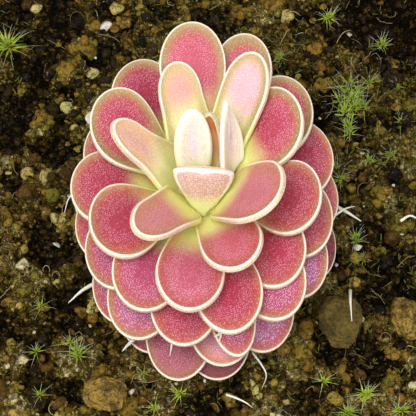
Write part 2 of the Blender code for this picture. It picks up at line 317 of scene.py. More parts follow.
class Graph:
    """A material's nodes, written as calls. Colours are display colours, 0 to 255."""

    def __init__(self, name, on_leaf=False):
        """Its patterns lie in object space, in mm, or flat on each leaf."""
        self.material = bpy.data.materials.new(name)
        self.material.use_nodes = True
        self.tree = self.material.node_tree
        if on_leaf:
            self.place = self.attribute("leaf_mm", "Vector")
        else:
            inputs = {0: self.value("TexCoord", "Object", {}), "Scale": 1 / MM}
            self.place = self.value("VectorMath", 0, inputs, operation="SCALE")

    def put(self, socket, value):
        """Links a value to the socket, or sets the socket's own."""
        if isinstance(value, Value):
            self.tree.links.new(value.socket, socket)
        else:
            socket.default_value = rgb(*value) if socket.type == "RGBA" else value

    def node(self, kind, inputs, **settings):
        made = self.tree.nodes.new("ShaderNode" + kind)
        for key, value in settings.items():
            setattr(made, key, value)
        for key, value in inputs.items():
            self.put(made.inputs[key], value)
        return made

    def value(self, kind, output, inputs, **settings):
        """One output of a new node."""
        return Value(self, self.node(kind, inputs, **settings).outputs[output])

    def attribute(self, name, output="Fac"):
        return self.value("Attribute", output, {}, attribute_name=name)

    def math(self, operation, *values):
        return self.value("Math", 0, dict(enumerate(values)), operation=operation)

    def span(self, value, low, high):
        """0 at low, 1 at high, smooth between."""
        inputs = {"Value": value, "From Min": low, "From Max": high}
        return self.value("MapRange", "Result", inputs, interpolation_type="SMOOTHSTEP")

    def mix(self, factor, a, b):
        return self.value("Mix", 2, {0: factor, 6: a, 7: b}, data_type="RGBA")

    def fade(self, value, low, high, a, b):
        """Colour a where the value is at low and b where it is at high."""
        return self.mix(self.span(value, low, high), a, b)

    def ramp(self, value, *stops):
        """A colour for the value, from stops that each give a place and a colour."""
        made = self.node("ValToRGB", {"Fac": value})
        elements = made.color_ramp.elements
        while len(elements) < len(stops):
            elements.new(0.5)
        for element, (place, *colour) in zip(elements, stops):
            element.position = place
            element.color = rgb(*colour)
        return Value(self, made.outputs["Color"])

    def noise(self, scale, detail=2, rough=0.5):
        inputs = {"Vector": self.place, "Scale": scale, "Detail": detail, "Roughness": rough}
        return self.value("TexNoise", "Fac", inputs)

    def cells(self, scale, scatter=1):
        """Distance to the nearest cell's middle, in cells, and a random number for that cell."""
        made = self.node("TexVoronoi", {"Vector": self.place, "Scale": scale, "Randomness": scatter})
        near, lot = (Value(self, made.outputs[key]) for key in ("Distance", "Color"))
        return near, self.value("SeparateColor", "Red", {"Color": lot})

    def finish(self, colour, roughness, relief=None, **sockets):
        """The material. relief is a height, how strongly it shows, and its depth in mm."""
        sockets.update(Base_Color=colour, Roughness=roughness)
        if relief:
            height, strength, depth = relief
            inputs = {"Height": height, "Strength": strength, "Distance": depth * MM}
            sockets["Normal"] = self.value("Bump", "Normal", inputs)
        for key, value in sockets.items():
            self.put(self.tree.nodes["Principled BSDF"].inputs[key.replace("_", " ")], value)
        return self.material


# ---- leaf material


def leaf_material():
    """Flesh from cream to crimson, a yellow-green base, an olive border, a thick cream rim, and over the
    upper face fine pale glands with painted glints off their droplets."""
    g = Graph("leaf_flesh", on_leaf=True)
    rim = g.attribute("rim_mm")  # along the surface from the middle of the rim: up is plus, under is minus
    along, blush, violet, olive_mm = map(g.attribute, ("along", "blush", "violet", "olive_mm"))
    blotch = g.noise(0.22, 3, 0.55)
    skin = g.noise(4.5, 3, 0.6)
    inset = rim + g.noise(0.8) * 0.9 - 0.45

    young = g.span(blush, 0.45, 0.15)
    middle = g.ramp(
        blush, (0, 230, 218, 224), (0.18, 202, 164, 142), (0.36, 214, 154, 142), (0.55, 210, 108, 122),
        (0.75, 194, 66, 90), (1, 168, 38, 68),
    )
    red = g.ramp(blush, (0, 240, 228, 204), (0.3, 226, 174, 130), (0.6, 198, 98, 90), (1, 164, 56, 64))
    # painted sheen: a painted violet reflection of the sky over the leaf's middle, lilac white on paler
    # leaves
    sheen = violet * g.span(inset, 0.8, 2.4) * g.span(blotch, 0.15, 0.5)
    flesh = g.fade(inset, 1.4, 4.2, red, middle)
    sheen_colour = g.fade(blush, 0.75, 0.35, (186, 102, 162), (222, 192, 208))
    flesh = g.mix(sheen * 0.88, flesh, sheen_colour)
    patch = g.span(blotch, 0.5, 0.8) * g.span(blush, 0.2, 0.5) * 0.3
    flesh = g.mix(patch, flesh, (206, 104, 96))

    reach = blotch * 0.12 + g.attribute("green")
    green = g.span(along - reach, 0.08, -0.2)
    bare = 1 - green
    base = g.mix(young, (222, 224, 132), (228, 230, 164))
    flesh = g.mix(green, flesh, base)

    olive = g.fade(olive_mm, 0.5, 1.2, (196, 144, 98), (164, 150, 84))
    border = g.mix(young, olive, (228, 208, 146))
    white = g.span(blush, 0.12, 0.03)
    border = g.mix(white, border, (236, 232, 206))
    beyond = inset - (olive_mm + 0.3)
    warm = g.span(beyond, 2.4, 0.2) * g.span(blush, 0.5, 0.7) * 0.5
    flesh = g.mix(warm, flesh, (200, 88, 84))
    upper = g.mix(g.span(beyond, 1.2, -0.7) * 0.85, flesh, border)
    upper = g.mix(g.span(blush, 1, 1.3) * bare * 0.9, upper, (110, 6, 26))

    grain, _ = g.cells(4.2)
    tan = g.fade(blotch, 0.3, 0.7, (206, 172, 134), (224, 198, 166))
    tan = g.mix(g.span(grain, 0.55, 0.2) * 0.6, tan, (250, 240, 226))
    cream = g.fade(g.noise(8, 2, 0.6), 0.36, 0.56, (214, 186, 150), (254, 249, 236))
    edge = g.fade(rim, 0.2, 0.36, tan, cream)
    edge = g.mix(white, edge, (240, 236, 208))
    edge = g.mix(green * 0.92, edge, base)
    upper = g.fade(rim, 0.78, 0.52, upper, edge)

    under = g.fade(rim, -0.6, -2.6, tan, g.mix(0.45, middle, (208, 192, 120)))
    lip = rim + skin * 0.8
    frost = g.fade(skin, 0.4, 0.6, (236, 224, 214), (255, 252, 250))
    under = g.fade(blush, 0.3, 0.18, under, g.fade(lip, -1.5, -1.1, middle, frost))
    under = g.mix(green * g.span(blush, 0.05, 0.15), under, base)
    colour = g.fade(rim, -0.5, -0.1, under, upper)

    near, lot = g.cells(3.1, 0.6)
    dot = g.span(near, 0.52, 0.2)
    face = g.math("MAXIMUM", g.span(rim, 0.6, 1.1), young * g.span(rim, -0.5, -1))
    glands = dot * face * g.span(along, 0.15, 0.4)
    between = face * (1 - dot) * g.span(blush, 0.2, 0.6) * bare * 0.35
    colour = g.mix(between, colour, g.mix(0.5, colour, (96, 20, 40)))
    freckle, _ = g.cells(3.7)
    freckle = g.span(freckle, 0.45, 0.22) * face * young * g.span(along, 0.1, 0.45) * 0.42
    colour = g.mix(freckle, colour, (164, 92, 96))
    # the glands' own pale pink with painted glints off their droplets over it: stronger and whiter where
    # the painted sheen lies and on young leaves
    strength = lot * 0.2 + sheen * 0.32 + young * 0.25 + 0.26
    strength = strength * g.span(blush, 1.5, 1)
    gland_glint = g.mix(g.math("MAXIMUM", sheen, young), (252, 188, 208), (255, 226, 238))
    colour = g.mix(glands * strength, colour, gland_glint)
    return g.finish(
        colour, skin * 0.25 + 0.4, (glands + skin * 0.5, 0.6, 0.1), Subsurface_Weight=green * 0.4 + 0.12,
        Subsurface_Radius=(1, 0.5, 0.25), Subsurface_Scale=1.4 * MM, Specular_IOR_Level=0.5,
        Coat_Weight=0.06, Coat_Roughness=0.3,
    )


# ---- leaves

SLEEVE_ROWS = 18
TIP_ROWS = 16
BASE_IN = -0.05  # the leaf starts a little inside the crown
SPINE_BACK = 0.55  # where rows meet in the round tip, as a share of its length back from the edge
# The edge in section: distances in from the edge, and the two faces' heights over the middle surface there
RIM_INSET = (0, 0, 0.03, 0.1, 0.2, 0.32, 0.45, 0.62, 0.9, 1.3, 1.9)
RIM_ABOVE = (0, 0.17, 0.29, 0.39, 0.45, 0.47, 0.44, 0.37, 0.31, 0.3, 0.34)
RIM_BELOW = (0, -0.17, -0.29, -0.38, -0.43, -0.45, -0.46, -0.46, -0.46, -0.47, -0.48)
# The same for both faces of the plump young leaves, which have no raised rim
PLUMP_INSET = (0, 0, 0.03, 0.1, 0.2, 0.36, 0.56, 0.8, 1.08, 1.4, 1.8)
PLUMP = (0, 0.15, 0.27, 0.4, 0.51, 0.63, 0.74, 0.83, 0.91, 0.97, 1)
INNER_SHARES = (0.3, 0.62, 1)  # where the columns between the rim and the midrib lie
PILLOW = 0.24  # how far the flesh swells between the rims
PILLOW_REACH = 5.5
NEXT_LEAF = 40  # how far apart two leaves lie in the leaf material's patterns


def grown_leaf(rank):
    """The leaf at this rank, 0 the youngest and OLDEST the lowest."""
    if rank in YOUNGEST:
        return YOUNGEST[rank]
    level = LEVEL.get(rank, rank)
    base_z = TOP_BASE - BASE_DROP * (level - 1)
    over = max(0, base_z - CROWN_SHOULDER)
    pitch = TOP_PITCH - PITCH_FALL * sqrt(level / OLDEST) + TILT.get(rank, 0)
    curl = 4 + 10 * min(1, rank / 20)
    return Leaf(
        azimuth=FIRST_AZIMUTH - DIVERGENCE * (rank - 1) + TURN.get(rank, 0),
        base_r=sqrt(CROWN_RADIUS**2 - over**2), base_z=base_z, pitch_in=pitch + curl,
        pitch_out=pitch - curl, length=(GROWN_LENGTH - 12 * exp(-rank / 5)) * SIZE.get(rank, 1),
        width=(GROWN_WIDTH - 6 * exp(-rank / 4.5)) * WIDTH.get(rank, 1),
        neck=SHEATHS.get(rank, 0.36 + 0.5 * exp(-((rank / 9.5) ** 3))), widest=0.66,
        cup=0.25 * exp(-rank / 8), roll=0, shift=0,
    )


def half_width(leaf, along):
    blade = leaf.neck + (1 - leaf.neck) * smoothstep(along / leaf.widest)
    blade = blade * (0.4 + 0.6 * smoothstep(along, 0, 0.2))
    tip = np.clip(1 - ((along - leaf.widest) / (1 - leaf.widest)) ** 2, 0, 1) ** leaf.tip
    return np.where(along < leaf.widest, blade, tip) * leaf.width / 2


def middle_surface(leaf, along, side, warp):
    """Points of the leaf's middle surface in the plant's frame. side is in mm from the midrib."""
    start, end = radians(leaf.pitch_in), radians(leaf.pitch_out)
    bend = end - start
    pitch = start + bend * along
    run = leaf.length * (np.sin(pitch) - sin(start)) / bend
    rise = leaf.length * (cos(start) - np.cos(pitch)) / bend
    half = leaf.width / 2
    lift = leaf.cup * side**2 / half
    lift = lift + warp[0] * side * along**2 / half + warp[1] * np.sin(3 * along + 1.3 * side / half)
    roll = radians(leaf.roll)
    across = side * cos(roll) - lift * sin(roll) + leaf.shift
    lift = side * sin(roll) + lift * cos(roll)
    out = leaf.base_r + run - np.sin(pitch) * lift
    up = leaf.base_z + rise + np.cos(pitch) * lift
    turn = radians(leaf.azimuth)
    x = (out * cos(turn) - across * sin(turn)) * OVAL
    y = out * sin(turn) + across * cos(turn)
    return np.stack([x, y, up], -1)


def surface_normals(leaf, along, side, warp):
    step = 0.01
    d_along = middle_surface(leaf, along + step / leaf.length, side, warp)
    d_along -= middle_surface(leaf, along - step / leaf.length, side, warp)
    d_side = middle_surface(leaf, along, side + step, warp)
    d_side -= middle_surface(leaf, along, side - step, warp)
    normal = np.cross(d_along, d_side)
    return normal / np.linalg.norm(normal, axis=-1, keepdims=True)


def blade_outline(leaf):
    """The leaf's edge, row by row from base to tip, and the place on the midrib that each row runs to."""
    sleeve = np.linspace(BASE_IN, leaf.widest, SLEEVE_ROWS, endpoint=False)
    arc = np.linspace(0, pi / 2, TIP_ROWS)
    along = np.concatenate([sleeve, leaf.widest + (1 - leaf.widest) * np.sin(arc)])
    side = half_width(leaf, np.maximum(along, 0))
    side[-1] = 0
    spine = along - np.maximum(along - leaf.widest, 0) * SPINE_BACK
    return along, side, spine


def leaf_side(leaf, section, warp):
    """One face of a leaf. Columns keep their distance from the edge, round the tip too, so that the rim
    stays one even band. Gives points, distance along the surface from the rim, and place."""
    edge_along, edge_side, spine = blade_outline(leaf)
    last_inset, last_height = section[-1]
    reach = np.hypot((edge_along - spine) * leaf.length, edge_side)[:, None]
    squeeze = np.minimum(1, reach / (last_inset * 1.5))
    near = section[None, :, 0] * squeeze
    far = near[:, -1:] + (reach - near[:, -1:]) * np.array(INNER_SHARES)
    inset = np.hstack([near, far])
    sign = copysign(1, last_height)
    risen = smoothstep(edge_along, 0.3, 0.6)[:, None]
    flat = sign * np.minimum(np.abs(section[:, 1]), abs(last_height))
    height = flat[None, :] + (section[:, 1] - flat)[None, :] * risen
    inner = last_height + sign * PILLOW * smoothstep(inset[:, len(section) :], last_inset, PILLOW_REACH)
    height = np.hstack([height, inner])
    travel = np.hstack([np.zeros((len(reach), 1)), np.hypot(np.diff(inset), np.diff(height))])
    travel = np.cumsum(travel, axis=1) * sign
    share = inset / np.maximum(reach, 1e-6)
    along = edge_along[:, None] + (spine - edge_along)[:, None] * share
    side = edge_side[:, None] * (1 - share)
    along, height, travel = (np.hstack([a, a[:, -2::-1]]) for a in (along, height, travel))
    side = np.hstack([side, -side[:, -2::-1]])
    points = middle_surface(leaf, along, side, warp)
    points = points + surface_normals(leaf, along, side, warp) * height[..., None]
    return points, travel, along, side, height


def make_leaf(name, leaf, finish, seed, plump=0, **look):
    """One closed leaf: two skins, welded along the rim. plump is half a young leaf's thickness."""
    rng = np.random.default_rng(seed)
    warp = (rng.normal(0, 0.12), rng.normal(0, 0.05))
    made = Builder()
    inset, above, below = RIM_INSET, RIM_ABOVE, RIM_BELOW
    if plump:
        inset, above, below = PLUMP_INSET, np.array(PLUMP) * plump, np.array(PLUMP) * -plump
    for face in (above, below):
        points, travel, along, side, height = leaf_side(leaf, np.stack([inset, face], -1), warp)
        flat = np.stack([along * leaf.length, side, height + NEXT_LEAF * seed], -1)
        made.add(
            points.reshape(-1, 3) + PLANT, grid_faces(*travel.shape, flip=face is below),
            rim_mm=travel.ravel(), along=along.ravel(), leaf_mm=flat.reshape(-1, 3), **look,
        )
    return weld(made.make(name, finish))


def olive_width(leaf, rank):
    """The olive border is broad on the leaves behind the crown and narrower in front."""
    return OLIVE_FRONT + OLIVE_BACK * max(0, sin(radians(leaf.azimuth))) + OLIVE.get(rank, 0)


def bud_material():
    """Orange brown in the bud's hollow, partly painted shade, paler below, with a painted shadow at the top
    under a pale green arch.
    """
    g = Graph("bud_flesh", on_leaf=True)
    along = g.attribute("along")
    skin = g.noise(4.5, 3, 0.6)
    # painted shade: the hollow darkens toward the tip, a painted shadow under the arching rim
    shaded_hollow = g.fade(along, 0.8, 0.62, (196, 116, 62), (218, 158, 118))
    shaded_hollow = g.fade(along, 0.5, 0.2, shaded_hollow, (226, 200, 124))
    arch = g.fade(skin, 0.4, 0.6, (198, 190, 138), (232, 222, 182))
    colour = g.fade(g.attribute("rim_mm"), 0.95, 0.65, shaded_hollow, arch)
    return g.finish(colour, skin * 0.2 + 0.4, (skin, 0.4, 0.08), Subsurface_Weight=0.1)


def make_leaves():
    bud = make_leaf("bud_leaf", CENTRAL_BUD, bud_material(), 60)
    stand_for(bud, "young_leaf", "central_bud")
    finish = leaf_material()
    for rank in range(OLDEST + 1):
        leaf = grown_leaf(rank)
        blush = BLUSH.get(rank, 1 - 0.5 * exp(-rank / 9))
        blade = make_leaf(
            f"blade_{rank:02d}", leaf, finish, rank + 1, YOUNG_HALF.get(rank, 0), blush=blush,
            violet=PAINTED_SHEEN.get(rank, 0), olive_mm=olive_width(leaf, rank),
            green=GREEN.get(rank, GREEN_REACH),
        )
        slot = "young_leaf" if rank < 3 else "grown_leaf" if rank < 24 else "old_leaf"
        stand_for(blade, slot, f"leaf_{rank:02d}")


# ---- crown


def crown_material():
    g = Graph("crown_skin")
    skin = g.noise(4, 3)
    return g.finish(
        g.mix(g.noise(0.5, 3), (222, 212, 116), (238, 230, 150)), skin * 0.2 + 0.35, (skin, 0.3, 0.1),
        Subsurface_Weight=0.2, Subsurface_Radius=(1, 0.6, 0.2), Subsurface_Scale=MM,
    )


def make_crown():
    """A dome with soft ribs between the leaf bases, on a neck that enters the soil."""
    rows, around = 40, 96
    share = np.linspace(0, 1, rows)
    angle = np.minimum(share / 0.5, 1) * pi / 2
    low = CROWN_LOW[2] - PLANT[2]
    swollen = CROWN_CORE + CROWN_SWELL
    dome = CROWN_SHOULDER + swollen * np.cos(angle)
    neck = CROWN_SHOULDER + (low - CROWN_SHOULDER) * (share - 0.5) / 0.5
    height = np.where(share < 0.5, dome, neck)[:, None]
    turn = np.linspace(0, tau, around + 1)[None, :]
    rib = 1 - 0.03 * (1 + np.sin(8 * turn + 1.4 * height)) * smoothstep(share, 0.15, 0.5)[:, None]
    radius = (swollen * np.sin(angle))[:, None] * rib
    points = turned(radius, height, turn) * (OVAL, 1, 1) + PLANT
    crown = new_object("crown_stem", points, grid_faces(rows, around + 1), crown_material())
    stand_for(weld(crown), "crown_green", "crown")


# ---- soil

# Beds of black wet peat: place from the plant, and radius
PEAT_BEDS = (
    (30, 37, 9.5), (-32, 21, 6.5), (27.5, -7, 5.5), (19, -18.5, 4), (-22, -3.5, 3.5), (-19.5, -11, 4),
    (-0.5, -28, 4), (24, -21, 4.5), (-34, -14, 6), (17, 22, 4), (-26.5, 29.5, 3.5), (-22, 38.5, 3.2),
    (-30, 38.5, 4), (-16.5, 31, 2.4), (-28, 24.5, 3),
)
PALER = -0.003  # how much paler the ground grows per mm toward the back: below 0 it darkens


def plant_distance(x, y):
    """How far a place lies from the plant's axis, on the plant's own oval."""
    return np.hypot((x - PLANT[0]) / OVAL, y - PLANT[1])


def peatiness(x, y):
    """1 in the beds of bare black peat and 0 where the ground is full of clods and grit."""
    ragged = 5 * (noise_at(x, y, 3, 45) - 0.5)
    found = 0.8 * smoothstep(noise_at(x, y, 5, 44), 0.62, 0.8)
    for bx, by, radius in PEAT_BEDS:
        away = np.hypot(x - PLANT[0] - bx, y - PLANT[1] - by) + ragged
        found = np.maximum(found, 1 - smoothstep(away, 0.6 * radius, 1.1 * radius))
    return found


def ground(x, y):
    """The soil's height, what lies there, from 0 (black peat) to 1 (pale grit), and how open to the light
    the place is, from 0 in the gaps between clods to 1 on top of them."""
    lumps = np.sin(0.31 * x + 0.8) * np.cos(0.27 * y - 0.4)
    lumps = lumps + 0.6 * np.sin(0.52 * y + 0.23 * x) + 0.4 * np.cos(0.71 * x - 0.44 * y)
    away = plant_distance(x, y)
    relief = 0.45 * (lumps - 0.6) * smoothstep(away, 24, 34)
    wx, wy = (
        at + 2.2 * (noise_at(x, y, 1.9, seed) - 0.5) + 0.9 * (noise_at(x, y, 0.7, seed + 2) - 0.5)
        for at, seed in ((x, 15), (y, 16))
    )
    big, big_lot = clods(wx, wy, 4.2, 41)
    middle, middle_lot = clods(wx, wy, 2, 42)
    small, small_lot = clods(wx, wy, 1, 43)
    peaty = peatiness(x, y)
    standing = smoothstep(big, 0.2, 0.5) * smoothstep(big_lot, 0.5, 0.6) * (1 - 0.8 * peaty)
    crumbs = (noise_at(x, y, 0.9, 13) - 0.5) * 0.6 + (noise_at(x, y, 0.5, 14) - 0.5) * 0.4
    lump = 1.5 * big * standing + (0.35 + 0.65 * middle_lot) * middle * 0.95
    lump = lump + small * (0.2 + 0.5 * small_lot)
    open_air = 0.35 + 0.65 * smoothstep(away, 20, 27)
    at_wall = 1 - smoothstep(np.hypot(x, y), SOIL_RADIUS - 2.5, SOIL_RADIUS)
    height = SOIL_LEVEL + relief + (lump - 0.9 + crumbs) * open_air * at_wall - 0.4
    kind = 0.16 + 0.6 * middle_lot + 0.3 * (small_lot - 0.4)
    kind = kind + (0.46 + 0.8 * (big_lot - 0.5) - kind) * standing
    kind = np.clip((kind + PALER * (y - PLANT[1])) * (1 - 0.8 * peaty), 0, 1)
    top = np.maximum(standing * big, middle * (0.5 + 0.5 * middle_lot))
    return height, kind, np.clip(0.75 * top + 0.35 * small - 0.1, 0, 1)


def on_soil(x, y, lift):
    """The point this far over the soil's surface."""
    return np.array((x, y, ground(x, y)[0] + lift))


def random_place(rng, share):
    """A place on the soil, and its distance from the pot's middle."""
    radius = SOIL_RADIUS * sqrt(rng.uniform(0, share))
    turn = rng.uniform(0, tau)
    return radius * cos(turn), radius * sin(turn), radius


def soil_material():
    """Damp dark peat packed with ochre and olive crumbs, with painted shade, near black, in the gaps."""
    g = Graph("peat_ground")
    middle = g.noise(0.9, 5, 0.65)
    fine = g.noise(3.6, 4, 0.7)
    near, lot = g.cells(1.5)
    close, other = g.cells(3.3)
    lot = lot * 0.5 + other * 0.3 - 0.38
    colour = g.ramp(
        g.attribute("kind") + lot + middle * 0.5 - 0.25, (0, 12, 9, 3), (0.2, 36, 27, 9),
        (0.38, 78, 60, 21), (0.52, 124, 98, 36), (0.64, 104, 98, 30), (0.8, 168, 144, 70),
        (1, 206, 190, 132),
    )
    # painted shade: near black where the ground is less open to the light, in the gaps between the crumbs
    # and in the fine relief's low spots
    gap = g.span(near, 0.75, 0.35) * g.span(close, 0.9, 0.35)
    lit = g.span(g.attribute("light"), 0.05, 0.6)
    open_air = lit * (gap * 0.75 + 0.25) * g.span(fine, 0.2, 0.5)
    return g.finish(
        g.mix(open_air, (9, 7, 2), colour), fine * 0.4 + 0.32,
        (gap * 0.9 + middle * 0.6 + fine * 0.5, 1, 0.5), Specular_IOR_Level=0.04,
        Coat_Weight=g.span(fine, 0.58, 0.72) * 0.5, Coat_Roughness=0.15,
    )


def make_soil():
    """The ground in the pot: a round sheet of rings on a plug that fills the pot."""
    rings, around = 140, 460
    turn = np.linspace(0, tau, around + 1)[None, :]
    radius = (SOIL_RADIUS * np.linspace(0, 1, rings + 1)[1:])[:, None]
    x, y = radius * np.cos(turn), radius * np.sin(turn)
    height, kind, light = ground(x, y)
    rows = [np.stack([x, y, height], -1)]
    for level in (SOIL_LEVEL - 3, SOIL_LEVEL - 25, SOIL_LEVEL - 50, SOIL_LOW[2]):
        rows.append(turned(np.array([[pot_inside(level) - 0.4]]), level, turn))
    grid = np.concatenate(rows)
    below = ((0, len(rows) - 1), (0, 0))
    values = {"kind": np.pad(kind, below).ravel(), "light": np.pad(light, below).ravel()}
    faces = grid_faces(len(grid), around + 1)
    soil = new_object("soil_ground", grid, faces, soil_material(), values)
    stand_for(weld(soil), "peat", "soil")


# ---- grit, stones

# Grains: half size, and how many are tried
GRAINS = ((1.7, 70), (1.2, 300), (0.85, 1300), (0.6, 4200), (0.4, 8000))
CLEAR = 19  # no grain's edge comes nearer the plant's axis than this
COARSE = 0.72  # the smallest coarse grain's half size
GLASSY = 0.87  # from this kind on a pebble is whole
QUARTZ_SHARE = 0.012
CLOD_SHARE = 0.6  # how many of the larger grains are crumbly
# Clods and pebbles that stand out: place from the plant, half size, and kind, from peat (0) to quartz (1)
LANDMARKS = (
    (-16.2, 36.9, 1.3, 1), (-27.3, 40.3, 0.9, 0.93), (-29, 33, 1, 0.5), (-25, 28.4, 0.9, 0.56),
    (-19.4, 32.7, 2.6, 0.66), (-22, 28.2, 2.2, 0.62), (-17.8, 27.9, 1.1, 0.93), (-21.8, 22.8, 1, 0.93),
    (-25.6, 19.1, 1.9, 0.62), (-14.4, 40.3, 1.3, 0.9), (-13, 37.5, 1.3, 0.62), (-8, 36.4, 1.1, 0.62),
    (6.5, 39.7, 2.3, 0.6), (12, 40, 2, 0.62), (18, 33, 1.8, 0.55), (18.7, 30, 1.6, 0.5),
    (23.2, 35.8, 0.5, 0.97), (30.4, 31, 1.4, 0.5), (27.6, 18.5, 1.3, 0.68), (27.1, 6, 2, 0.64),
    (30.2, 1.6, 2.1, 0.68), (-27.5, 10.4, 1.2, 0.88), (-24.7, 9.7, 1.4, 0.9), (-28, 7.2, 0.7, 0.97),
    (-24.8, 4.2, 1.4, 0.52), (-29.2, 1.4, 1.3, 0.76), (-27.9, -5.2, 1, 0.95), (-22.2, 2.5, 1.9, 0.84),
    (27.6, -23.7, 1.7, 0.7), (20.3, -22.2, 0.9, 0.76), (6.3, -24.8, 1.1, 0.66), (14.3, -19.8, 1.3, 0.64),
    (-21, -29.7, 1.4, 0.72), (-28, -25.6, 1.2, 0.68),
)


def grain_material():
    """Peat and mineral grains: near black, brown, ochre, olive, tan and a few of quartz."""
    g = Graph("grit")
    kind = g.attribute("kind")
    mottle = g.noise(1.3, 4, 0.65)
    pits = g.noise(3, 4, 0.7)
    colour = g.ramp(
        kind, (0, 16, 12, 4), (0.3, 50, 36, 11), (0.45, 98, 70, 22), (0.6, 146, 112, 40),
        (0.72, 112, 104, 30), (0.85, 178, 150, 70), (0.93, 200, 188, 118), (1, 226, 218, 200),
    )
    # darker in the low places of the grains' relief
    low_spots = g.math("MAXIMUM", g.span(mottle, 0.56, 0.36), g.span(pits, 0.46, 0.32))
    return g.finish(
        g.mix(low_spots * g.span(kind, 1.1, 0.9), colour, g.mix(0.8, colour, (20, 14, 5))), mottle * 0.35 + 0.3,
        (mottle + pits, 0.9, 0.4), Specular_IOR_Level=0.12, Coat_Weight=g.span(pits, 0.52, 0.64) * 0.6,
        Coat_Roughness=0.12,
    )


def lumpy(base, size, rng):
    """One grain from a round ball: squashed, knocked in here and there, and turned at random."""
    shape = base.copy()
    for scale, depth in ((2, 0.14), (4.5, 0.08)):
        waves = np.sin(base @ rng.normal(0, scale, 3) + rng.uniform(0, tau))
        shape = shape * (1 + depth * waves)[:, None]
    for _ in range(7):
        way = rng.normal(0, 1, 3)
        way /= np.linalg.norm(way)
        shape = shape - np.outer(np.maximum(shape @ way - rng.uniform(0.5, 0.85), 0), way)
    shape = shape * (1.1, rng.uniform(0.72, 1.1), rng.uniform(0.6, 0.9))
    spin, lean = rng.uniform(0, tau), rng.normal(0, 0.35)
    tilt = np.array([[1, 0, 0], [0, cos(lean), -sin(lean)], [0, sin(lean), cos(lean)]])
    turn = np.array([[cos(spin), -sin(spin), 0], [sin(spin), cos(spin), 0], [0, 0, 1]])
    return shape @ tilt.T @ turn.T * size


def scatter(rng):
    """Places for the grains, largest first, none on another: (x, y, half size)."""
    cell = 3.4
    taken = {}
    found = []
    for size, count in GRAINS:
        for _ in range(count):
            x, y, radius = random_place(rng, 0.965)
            half = size * rng.uniform(0.8, 1.2)
            if plant_distance(x, y) < CLEAR + half or radius > SOIL_RADIUS - half:
                continue
            i, j = int(x // cell), int(y // cell)
            around = [g for a in (-1, 0, 1) for b in (-1, 0, 1) for g in taken.get((i + a, j + b), ())]
            if any((x - gx) ** 2 + (y - gy) ** 2 < 0.55 * (half + gh) ** 2 for gx, gy, gh in around):
                continue
            taken.setdefault((i, j), []).append((x, y, half))
            found.append((x, y, half))
    return found


def add_clod(made, base, faces, at, half, kind, rng):
    """A crumbly clod: one lump with smaller ones stuck to its sides."""
    made.add(lumpy(base, 0.75 * half, rng) + at, faces, kind=kind)
    for _ in range(7):
        way = rng.normal(0, 1, 3) * (1, 1, 0.35)
        way *= 0.62 * half / np.linalg.norm(way)
        share = rng.uniform(0.28, 0.5)
        points = lumpy(base, share * half, rng) + at + way
        made.add(points, faces, kind=np.clip(kind + rng.normal(0, 0.07), 0, 0.96))


def make_grit():
    rng = np.random.default_rng(5)
    finish = grain_material()
    large, coarse, fine = ball(3), ball(2), ball(1)
    builders = {"coarse_grit": Builder(), "fine_grit": Builder()}
    for x, y, half, kind in LANDMARKS:
        made = builders["coarse_grit"]
        at = on_soil(x + PLANT[0], y + PLANT[1], 0.1 * half)
        if half > 1.15 and kind < GLASSY:
            add_clod(made, *coarse, at, half, kind, rng)
        else:
            made.add(lumpy(large[0], half, rng) + at, large[1], kind=kind)
    for x, y, half in scatter(rng):
        made = builders["coarse_grit" if half > COARSE else "fine_grit"]
        base, faces = large if half > 1.3 else coarse if half > 0.5 else fine
        peaty = peatiness(x, y)
        kind = np.clip((rng.normal(0.5, 0.24) + PALER * (y - PLANT[1])) * (1 - 0.6 * peaty), 0, 0.95)
        kind = 1 if rng.random() < QUARTZ_SHARE else kind
        at = on_soil(x, y, rng.uniform(-0.35, 0.2) * half)
        if half > 1 and rng.random() < CLOD_SHARE:
            add_clod(made, *coarse, at, half, kind, rng)
        elif rng.random() > 0.5 * peaty:
            made.add(lumpy(base, half, rng) + at, faces, kind=kind)
    for name, made in builders.items():
        stand_for(made.make(name, finish), "peat")


def stone_material():
    g = Graph("worn_stone")
    mottle = g.noise(0.5, 6, 0.65)
    speck = g.noise(2.6, 4, 0.7)
    colour = g.ramp(
        mottle, (0.3, 34, 27, 9), (0.45, 104, 82, 32), (0.6, 164, 132, 58), (0.75, 124, 110, 44),
    )
    colour = g.fade(speck, 0.5, 0.66, colour, (40, 31, 9))
    colour = g.fade(speck, 0.42, 0.3, colour, (172, 146, 78))
    colour = g.mix(g.attribute("olive") * 0.65, colour, (60, 54, 20))
    relief = mottle + speck * 0.6
    return g.finish(colour, speck * 0.3 + 0.4, (relief, 1, 0.6), Specular_IOR_Level=0.2)


def make_stones():
    """Three worn and pitted stones, each inside its node's box."""
    finish = stone_material()
    base, faces = ball(5)
    for number in (1, 2, 3):
        low, high = box_mm(f"stone_{number}")
        shape = base.copy()
        for scale, depth in ((1.6, 0.15), (3.1, 0.09), (7, 0.05), (15, 0.024), (27, 0.012)):
            x, y, z = (base * scale + 3.7 * number).T
            bumps = np.sin(x + 1.7 * np.sin(z)) * np.cos(y + x * 0.6) + 0.5 * np.sin(z * 1.3)
            shape *= (1 + depth * bumps)[:, None]
        shape = shape / np.abs(shape).max(axis=0)
        values = {"olive": np.full(len(base), 1 if number == 1 else 0)}
        points = (low + high) / 2 + shape * ((high - low) / 2)
        stone = new_object(f"worn_stone_{number}", points, faces, finish, values)
        stand_for(stone, "ochre_stone", f"stone_{number}")


# ---- moss, threads and rootlets

